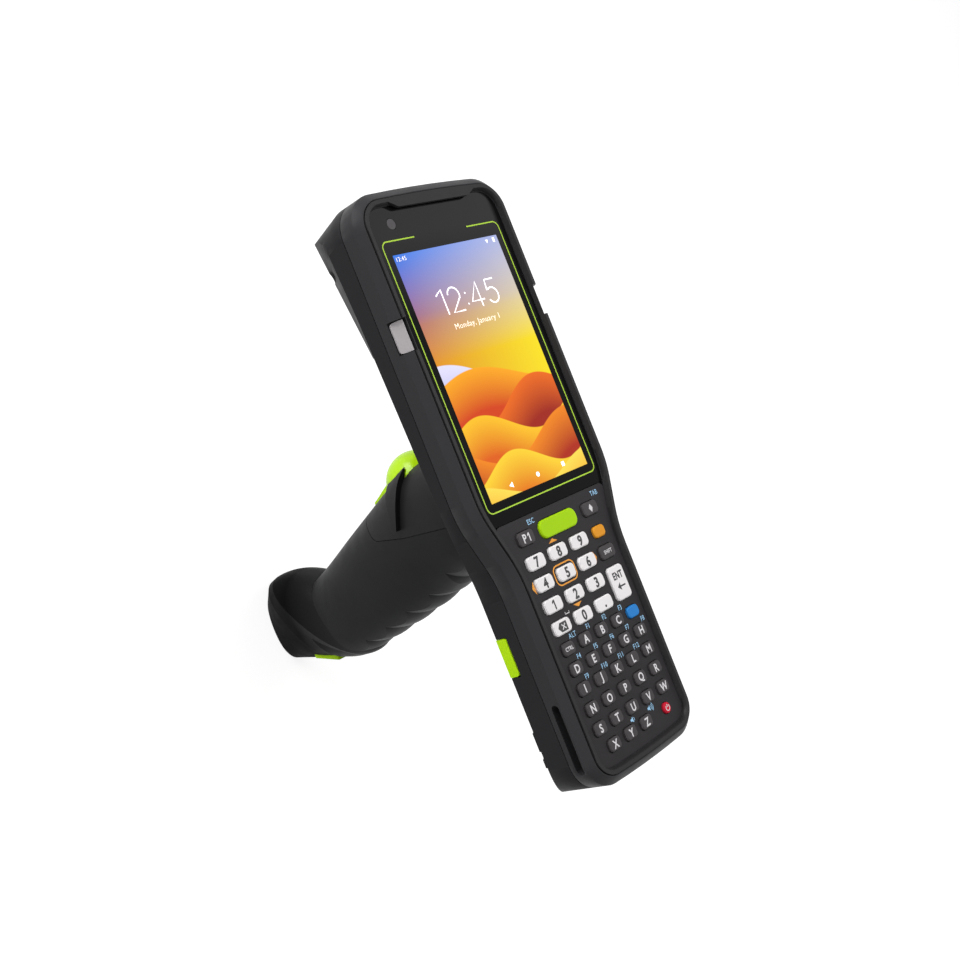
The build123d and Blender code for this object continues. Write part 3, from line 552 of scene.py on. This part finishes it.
# Each legend's height in mm, then its width share or its line's width.
NUMBER_HEIGHT, NUMBER_SHARE = 3.4, 0.9
LETTER_HEIGHT, LETTER_SHARE = 2.8, 0.88
P_HEIGHT = 2.9
ENTER_HEIGHT, ENTER_SHARE = 2.5, 0.76
WORD_SHARE = 0.85
PLATE_HEIGHT, PLATE_SHARE = 1.75, 0.84
NUMBER_ONE_LINE, P_ONE_LINE = 0.6, 0.5

# How much a legend's lines are thickened.
NUMBER_WEIGHT, LETTER_WEIGHT, PLATE_WEIGHT = 0.05, 0.035, 0.012


def key_centre(node):
    """Middle of a key's top in the face frame."""
    low, high = face_box(node)
    return (low.x + high.x) / 2, (low.y + high.y) / 2


def key_decal(name, node, outlines, ink, layer=0):
    """A mark on a key; layer 1 lies on another print."""
    decal(name, outlines, KEY_TOP + PRINT * layer, INK[ink], node + "_body")


def number_legends():
    """Figures on the white keys, the arrow on ENTER and the mark on the backspace key."""
    for node, text in WHITE_KEYS.items():
        x, y = key_centre(node)
        lettering("legend_" + node, [(text, x, y, NUMBER_HEIGHT, NUMBER_SHARE)], KEY_TOP,
                  INK["dark"], node + "_body", NUMBER_WEIGHT)
    x, y = key_centre("key_1")
    stem_right = 0.3
    one = figure_one(x + stem_right, y, NUMBER_HEIGHT, NUMBER_ONE_LINE)
    key_decal("legend_key_1", "key_1", one, "dark")
    x, y = key_centre("key_dot")
    dot_drop, dot_radius = 1.0, 0.45
    dot = arc(x, y - dot_drop, dot_radius, start=0, end=345, count=16)
    key_decal("legend_key_dot", "key_dot", [dot], "dark")
    x, y = key_centre("key_enter")
    word_up, arrow_reach, arrow_drop = 2.6, 2.2, 1.4
    lettering("legend_enter", [("ENT", x, y + word_up, ENTER_HEIGHT, ENTER_SHARE)], KEY_TOP,
              INK["dark"], "key_enter_body", NUMBER_WEIGHT)
    arrow = arrow_left(x - arrow_reach, y - arrow_drop, length=4.4, width=0.55, head=1.7)
    key_decal("enter_arrow", "key_enter", arrow, "dark")
    x, y = key_centre("key_backspace")
    tip, shoulder, end, half = x - 2.5, x - 1.2, x + 2.2, 1.6
    cross_right = 0.4
    tag = [(tip, y), (shoulder, y + half), (end, y + half), (end, y - half), (shoulder, y - half)]
    key_decal("backspace_tag", "key_backspace", [tag], "dark")
    strokes = cross(x + cross_right, y, reach=0.9, width=0.4)
    key_decal("backspace_cross", "key_backspace", strokes, "light", layer=1)


def letter_legends():
    """Letters on the grey keys, one piece for each row that moves together."""
    for node, letters in LETTER_ROWS.items():
        low, high = face_box(node)
        first, last = low.x + LETTER_KEY_WIDTH / 2, high.x - LETTER_KEY_WIDTH / 2
        y = (low.y + high.y) / 2
        step = (last - first) / (len(letters) - 1)
        places = [(letter, first + i * step) for i, letter in enumerate(letters)]
        labels = [(letter, x, y, LETTER_HEIGHT, LETTER_SHARE) for letter, x in places]
        lettering("legend_" + node, labels, KEY_TOP, INK["light"], node + "_body",
                  LETTER_WEIGHT)


def other_legends():
    """Words and marks on the remaining keys."""
    for node, text, height in (("key_shift", "SHIFT", 1.35), ("key_ctrl", "CTRL", 1.3)):
        x, y = key_centre(node)
        lettering("legend_" + node, [(text, x, y, height, WORD_SHARE)], KEY_TOP,
                  INK["light"], node + "_body")
    x, y = key_centre("key_p1")
    letter_left, stem_right = 1.0, 1.4
    lettering("legend_key_p", [("P", x - letter_left, y, P_HEIGHT, LETTER_SHARE)], KEY_TOP,
              INK["light"], "key_p1_body", LETTER_WEIGHT)
    one = figure_one(x + stem_right, y, P_HEIGHT, P_ONE_LINE)
    key_decal("legend_key_p1", "key_p1", one, "light")
    x, y = key_centre("key_tab")
    half_x, half_y = 1.0, 1.5
    diamond = [(x - half_x, y), (x, y - half_y), (x + half_x, y), (x, y + half_y)]
    key_decal("legend_tab", "key_tab", [diamond], "light")
    x, y = key_centre("key_power")
    line, bar_low, bar_high = 0.3, 0.2, 1.3
    ring = stroke(arc(x, y, radius=1.0, start=125, end=415, count=16), line)
    bar = stroke([(x, y + bar_low), (x, y + bar_high)], line)
    key_decal("legend_power", "key_power", ring + bar, "light")


# Second functions printed on the plate: the word and its middle in the face frame.
BLUE_WORDS = (
    ("ESC", -12.3, -53.7), ("TAB", 23.1, -53.7), ("ALT", -13.9, -93.8),
    ("F1", -5.4, -93.8), ("F2", 4.0, -93.8), ("F3", 13.4, -93.8),
    ("F4", -14.7, -101.0), ("F5", -5.3, -101.0), ("F6", 4.1, -101.0), ("F7", 13.3, -101.0),
    ("F8", 22.6, -101.0),
    ("F9", -14.7, -108.2), ("F10", -4.8, -108.2), ("F11", 4.6, -108.2), ("F12", 14.0, -108.2),
)
VOLUME_Y, QUIET_X, LOUD_X = -129.3, -1.7, 8.5           # the two loudspeakers
RING_MARGIN, RING_RADIUS, RING_LINE = 1.0, 2.2, 0.48
ARROW_UP, ARROW_DOWN, ARROW_SIDE = 14.0, 9.0, 17.0      # how far the orange arrows stand off


def plate_marks():
    """What is printed on the keypad plate: second functions in blue, arrows in orange."""
    labels = [(text, x, y, PLATE_HEIGHT, PLATE_SHARE) for text, x, y in BLUE_WORDS]
    lettering("plate_words", labels, PLATE_TOP, INK["blue"], BODY, PLATE_WEIGHT)
    volume = speaker_mark(QUIET_X, VOLUME_Y, waves=1) + speaker_mark(LOUD_X, VOLUME_Y, waves=3)
    decal("volume_marks", volume, PLATE_TOP, INK["blue"], BODY)
    low, high = face_box("key_5")
    ring = rounded_line(low.x - RING_MARGIN, low.y - RING_MARGIN,
                        high.x + RING_MARGIN, high.y + RING_MARGIN, RING_RADIUS)
    x, y = key_centre("key_5")
    orange = stroke(ring, RING_LINE, closed=True)
    orange += [chevron(x, low.y + ARROW_UP, 1, 0), chevron(x, low.y - ARROW_DOWN, -1, 0)]
    orange += [chevron(x - ARROW_SIDE, y, -1, 1), chevron(x + ARROW_SIDE, y, 1, 1)]
    decal("orange_marks", orange, PLATE_TOP, INK["orange"], BODY)
    left, right, top, bottom, line = -13.2, -11.2, -86.0, -86.7, 0.3
    space = stroke([(left, top), (left, bottom), (right, bottom), (right, top)], line)
    decal("space_mark", space, PLATE_TOP, INK["light"], BODY)


# ---------------------------------------------------------------- display

SCREEN_HALF_X, SCREEN_HALF_Y = 26.15, 43.55
SCREEN_CORNERS = ((0, 0), (1, 0), (1, 1), (0, 1))
GLASS_BLACK = (0.01, 0.01, 0.01, 1)     # the display's own colour, under the light it gives
SCREEN_SHEEN = 0.1
WAVES = (
    # height at the left, rise, waves across, phase, dark colour, light colour
    (0.44, 0.115, 0.50, 0.25, (190, 186, 236), (232, 230, 254)),
    (0.45, 0.060, 0.62, 0.08, (214, 66, 8), (255, 172, 22)),
    (0.35, 0.075, 0.80, 0.60, (160, 30, 6), (240, 108, 14)),
    (0.27, 0.060, 0.90, 0.10, (226, 96, 6), (255, 200, 34)),
    (0.19, 0.070, 0.75, 0.50, (176, 40, 8), (246, 138, 18)),
    (0.11, 0.055, 1.00, 0.90, (232, 120, 8), (255, 216, 50)),
    (0.03, 0.045, 0.85, 0.35, (244, 150, 10), (255, 226, 84)),
)
CREST_SHARPNESS, SHADE_RATE = 260.0, 6.0        # how fast a hill's edge and its shade set in


def colour_mix(tree, factor, a, b):
    """A colour between a and b, each an sRGB triple or a socket."""
    ends = [linear(value) if isinstance(value, tuple) else value for value in (a, b)]
    return blend(tree, factor, *ends)


def rise_from(tree, value, start, rate):
    """Grows from 0 at a start to 1, at a rate."""
    return math_node(tree, "MULTIPLY", math_node(tree, "SUBTRACT", value, start), rate, clamp=True)


def sky(tree, u, v):
    """Blue at the top left, through lilac, to a yellow glow in the middle."""
    top = colour_mix(tree, u, (52, 124, 236), (176, 186, 232))
    middle = colour_mix(tree, u, (176, 112, 116), (222, 206, 170))
    glow = colour_mix(tree, u, (228, 148, 24), (250, 226, 18))
    upper = rise_from(tree, v, start=0.72, rate=3.6)
    lower = rise_from(tree, v, start=0.56, rate=5.0)
    return colour_mix(tree, upper, colour_mix(tree, lower, glow, middle), top)


def crest(tree, u, base, rise, waves, phase):
    """The height of a hill's edge across the picture: one sine wave."""
    turns = math_node(tree, "ADD", math_node(tree, "MULTIPLY", u, waves), phase)
    wave = math_node(tree, "SINE", math_node(tree, "MULTIPLY", turns, 2 * pi))
    return math_node(tree, "ADD", math_node(tree, "MULTIPLY", wave, rise), base)


def screen_material():
    """A generic lock-screen picture: a soft sky over bands of rounded hills."""
    material, tree, shader = new_material("screen_picture")
    uv = tree.nodes.new("ShaderNodeUVMap")
    split = tree.nodes.new("ShaderNodeSeparateXYZ")
    tree.links.new(uv.outputs["UV"], split.inputs["Vector"])
    u, v = split.outputs["X"], split.outputs["Y"]
    colour = sky(tree, u, v)
    for base, rise, waves, phase, dark, light in WAVES:
        depth = math_node(tree, "SUBTRACT", crest(tree, u, base, rise, waves, phase), v)
        inside = math_node(tree, "MULTIPLY", depth, CREST_SHARPNESS, clamp=True)
        shade = math_node(tree, "MULTIPLY", depth, SHADE_RATE, clamp=True)
        colour = colour_mix(tree, inside, colour, colour_mix(tree, shade, light, dark))
    tree.links.new(colour, shader.inputs["Emission Color"])
    shader.inputs["Base Color"].default_value = GLASS_BLACK
    shader.inputs["Emission Strength"].default_value = 1.0
    shader.inputs["Specular IOR Level"].default_value = SCREEN_SHEEN
    shader.inputs["Roughness"].default_value = SCREEN_ROUGHNESS
    return material


def screen():
    """The lit picture, just over the glass."""
    signs = [(2 * u - 1, 2 * v - 1) for u, v in SCREEN_CORNERS]
    verts = [at(sx * SCREEN_HALF_X, sy * SCREEN_HALF_Y, LIFT) for sx, sy in signs]
    piece = piece_from("screen_picture", verts, [[0, 1, 2, 3]], screen_material(), BODY)
    layer = piece.data.uv_layers.new(name="UVMap")
    for loop, corner in zip(layer.data, SCREEN_CORNERS):
        loop.uv = corner


# The clock's thin figures: their lines in shares of the height, from the lower left corner.
FIGURES = {
    "1": [[(0.05, 0.78), (0.40, 1.0), (0.40, 0.0)]],
    "2": [arc(0.33, 0.68, 0.31, 170, -25, 12) + [(0.03, 0.02), (0.68, 0.02)]],
    "4": [[(0.74, 0.26), (0.02, 0.26), (0.52, 1.0), (0.52, 0.0)]],
    "5": [[(0.62, 0.98), (0.14, 0.98), (0.08, 0.56)] + arc(0.32, 0.33, 0.31, 125, -150, 14)],
}
CLOCK = (("1", 0.0), ("2", 0.66), ("4", 1.84), ("5", 2.78))     # where each figure starts
COLON, COLON_DOTS = 1.62, (0.22, 0.66)                          # its place and its dots' heights
DOT_SHARE = 0.6                         # radius of a dot, as a share of the line's width
CLOCK_X, CLOCK_Y, CLOCK_HEIGHT, CLOCK_LINE = -14.8, 20.2, 8.9, 0.52
STATUS_Y, NAVIGATION_Y = 42.0, -40.2
SCREEN_WORDS = (
    # text, x and y of its middle, height, width share
    ("12:45", -22.9, STATUS_Y, 1.5, 1.0),
    ("Monday, January 1", 0.4, 15.4, 2.0, 1.02),
)
SCREEN_WORDS_WEIGHT = -0.012            # below 0, so their lines are thinned


def clock_lines(x, y, height, width):
    """Thin-line figures, from the clock's lower left corner."""
    dots = [(x + COLON * height, y + rise * height) for rise in COLON_DOTS]
    shapes = [arc(dot_x, dot_y, DOT_SHARE * width, 0, 345, 14) for dot_x, dot_y in dots]
    for figure, start in CLOCK:
        for line in FIGURES[figure]:
            shapes += stroke([(x + (start + a) * height, y + b * height) for a, b in line], width)
    return shapes


def rectangle(low_x, low_y, high_x, high_y):
    """A rectangle's outline."""
    return [(low_x, low_y), (high_x, low_y), (high_x, high_y), (low_x, high_y)]


def screen_marks():
    """Clock, status marks and navigation marks."""
    clock = clock_lines(CLOCK_X, CLOCK_Y, CLOCK_HEIGHT, CLOCK_LINE)
    decal("screen_clock", clock, LIFT, INK["screen"], BODY)
    lettering("screen_words", SCREEN_WORDS, LIFT, INK["screen_soft"], BODY,
              SCREEN_WORDS_WEIGHT)
    back = triangle(-14.0, NAVIGATION_Y, size=1.2, angle=180)
    home = arc(0.0, NAVIGATION_Y, radius=0.85, start=0, end=340, count=16)
    recent = rectangle(low_x=13.2, low_y=-41.0, high_x=14.8, high_y=-39.4)
    signal = triangle(20.2, STATUS_Y, size=0.8, angle=270)
    battery = rectangle(low_x=23.4, low_y=41.2, high_x=24.4, high_y=42.8)
    marks = [back, home, recent, signal, battery]
    decal("screen_marks", marks, LIFT, INK["screen"], BODY)


def lime_outline():
    """The lime line printed round the display, open at the middle of the top."""
    low_x, high_x, low_y, high_y, radius = -29.1, 29.1, -46.6, 48.4, 2.4
    gap_left, gap_right, width = -13.3, 13.0, 0.45
    line = [(gap_left, high_y)]
    line += arc(low_x + radius, high_y - radius, radius, 90, 180)
    line += arc(low_x + radius, low_y + radius, radius, 180, 270)
    line += arc(high_x - radius, low_y + radius, radius, 270, 360)
    line += arc(high_x - radius, high_y - radius, radius, 0, 90)
    line += [(gap_right, high_y)]
    decal("lime_outline", stroke(line, width), 0.0, INK["lime"], BODY)


# ---------------------------------------------------------------- stage

# The camera fitted to the photo: its place in mm and its axes, in the face frame.
CAMERA_PLACE = (-335.697, -33.219, 304.077)
CAMERA_RIGHT = (0.65080, -0.37109, 0.66238)
CAMERA_DOWN = (-0.26271, -0.92859, -0.26212)
CAMERA_FORWARD = (0.71235, -0.00342, -0.70182)
LENS_MM, SENSOR_MM = 50, 36
NEAR_M, FAR_M = 0.01, 50

FLOOR_HALF = 6.0                                # in metres
FLOOR_COLOUR, FLOOR_ROUGHNESS, FLOOR_SHEEN = (0.42, 0.42, 0.42, 1), 0.9, 0.1
FLOOR_SEEN, FLOOR_MIRRORED = 0.80, 0.60         # light it adds to the eye and in reflections
WORLD_LIGHT = 0.14                              # what the surroundings shine on the object
WORLD_SEEN, WORLD_MIRRORED = 0.86, 0.86         # what they add to the eye, also through glass,
                                                # and in reflections
LIGHTS = (
    # name, place and aim in the face frame in mm, size in metres, power in watts
    ("above", (200, 100, 900), (0, -40, 0), 0.8, 7.0),
    ("left", (-900, -300, 300), (0, -40, -60), 0.8, 2.3),
    ("behind", (-450, 800, 160), (0, 0, -40), 0.6, 8.0),
)


def camera():
    """The viewpoint, close to the terminal's upper left."""
    data = bpy.data.cameras.new("camera")
    data.lens = LENS_MM
    data.sensor_width = SENSOR_MM
    data.clip_start = NEAR_M
    data.clip_end = FAR_M
    eye = bpy.data.objects.new("camera", data)
    right, up, back = Vector(CAMERA_RIGHT), -Vector(CAMERA_DOWN), -Vector(CAMERA_FORWARD)
    turn = Matrix((right, up, back)).transposed().to_4x4()
    eye.matrix_world = Matrix.Translation(at(*CAMERA_PLACE)) @ turn
    bpy.context.scene.collection.objects.link(eye)
    bpy.context.scene.camera = eye


def floor():
    """A pale floor that renders white and keeps a faint shadow."""
    mesh = bpy.data.meshes.new("floor")
    corners = rectangle(-FLOOR_HALF, -FLOOR_HALF, FLOOR_HALF, FLOOR_HALF)
    mesh.from_pydata([(x, y, 0) for x, y in corners], [], [[0, 1, 2, 3]])
    material, tree, shader = new_material("floor_paper")
    shader.inputs["Base Color"].default_value = FLOOR_COLOUR
    shader.inputs["Roughness"].default_value = FLOOR_ROUGHNESS
    shader.inputs["Specular IOR Level"].default_value = FLOOR_SHEEN
    path = tree.nodes.new("ShaderNodeLightPath")
    emission = tree.nodes.new("ShaderNodeEmission")
    add = tree.nodes.new("ShaderNodeAddShader")
    seen = math_node(tree, "MULTIPLY", path.outputs["Is Camera Ray"], FLOOR_SEEN)
    mirrored = math_node(tree, "MULTIPLY", path.outputs["Is Glossy Ray"], FLOOR_MIRRORED)
    tree.links.new(math_node(tree, "ADD", seen, mirrored), emission.inputs["Strength"])
    tree.links.new(shader.outputs["BSDF"], add.inputs[0])
    tree.links.new(emission.outputs["Emission"], add.inputs[1])
    tree.links.new(add.outputs["Shader"], tree.nodes["Material Output"].inputs["Surface"])
    piece = linked("floor", mesh, material)


def world():
    """White surroundings: bright to the eye and in reflections, softer as light."""
    scene_world = bpy.data.worlds.new("studio")
    bpy.context.scene.world = scene_world
    scene_world.use_nodes = True
    tree = scene_world.node_tree
    background = tree.nodes["Background"]
    background.inputs["Color"].default_value = (1, 1, 1, 1)
    path = tree.nodes.new("ShaderNodeLightPath")
    eye, through_glass = path.outputs["Is Camera Ray"], path.outputs["Is Transmission Ray"]
    seen = math_node(tree, "MULTIPLY", math_node(tree, "MAXIMUM", eye, through_glass), WORLD_SEEN)
    mirrored = math_node(tree, "MULTIPLY", path.outputs["Is Glossy Ray"], WORLD_MIRRORED)
    strength = math_node(tree, "ADD", math_node(tree, "ADD", seen, WORLD_LIGHT), mirrored)
    tree.links.new(strength, background.inputs["Strength"])


def area_light(name, place, target, size, power):
    """A square soft light aimed at a point, both in the face frame in mm."""
    data = bpy.data.lights.new(name, "AREA")
    data.shape = "SQUARE"
    data.size = size
    data.energy = power
    lamp = bpy.data.objects.new(name, data)
    lamp.location = at(*place)
    lamp.rotation_euler = (at(*target) - at(*place)).to_track_quat("-Z", "Y").to_euler()
    bpy.context.scene.collection.objects.link(lamp)


dress_nodes()
screen()
screen_marks()
lime_outline()
number_legends()
letter_legends()
other_legends()
plate_marks()
camera()
floor()
world()
for light in LIGHTS:
    area_light(*light)
bpy.context.scene.view_settings.view_transform = "Standard"
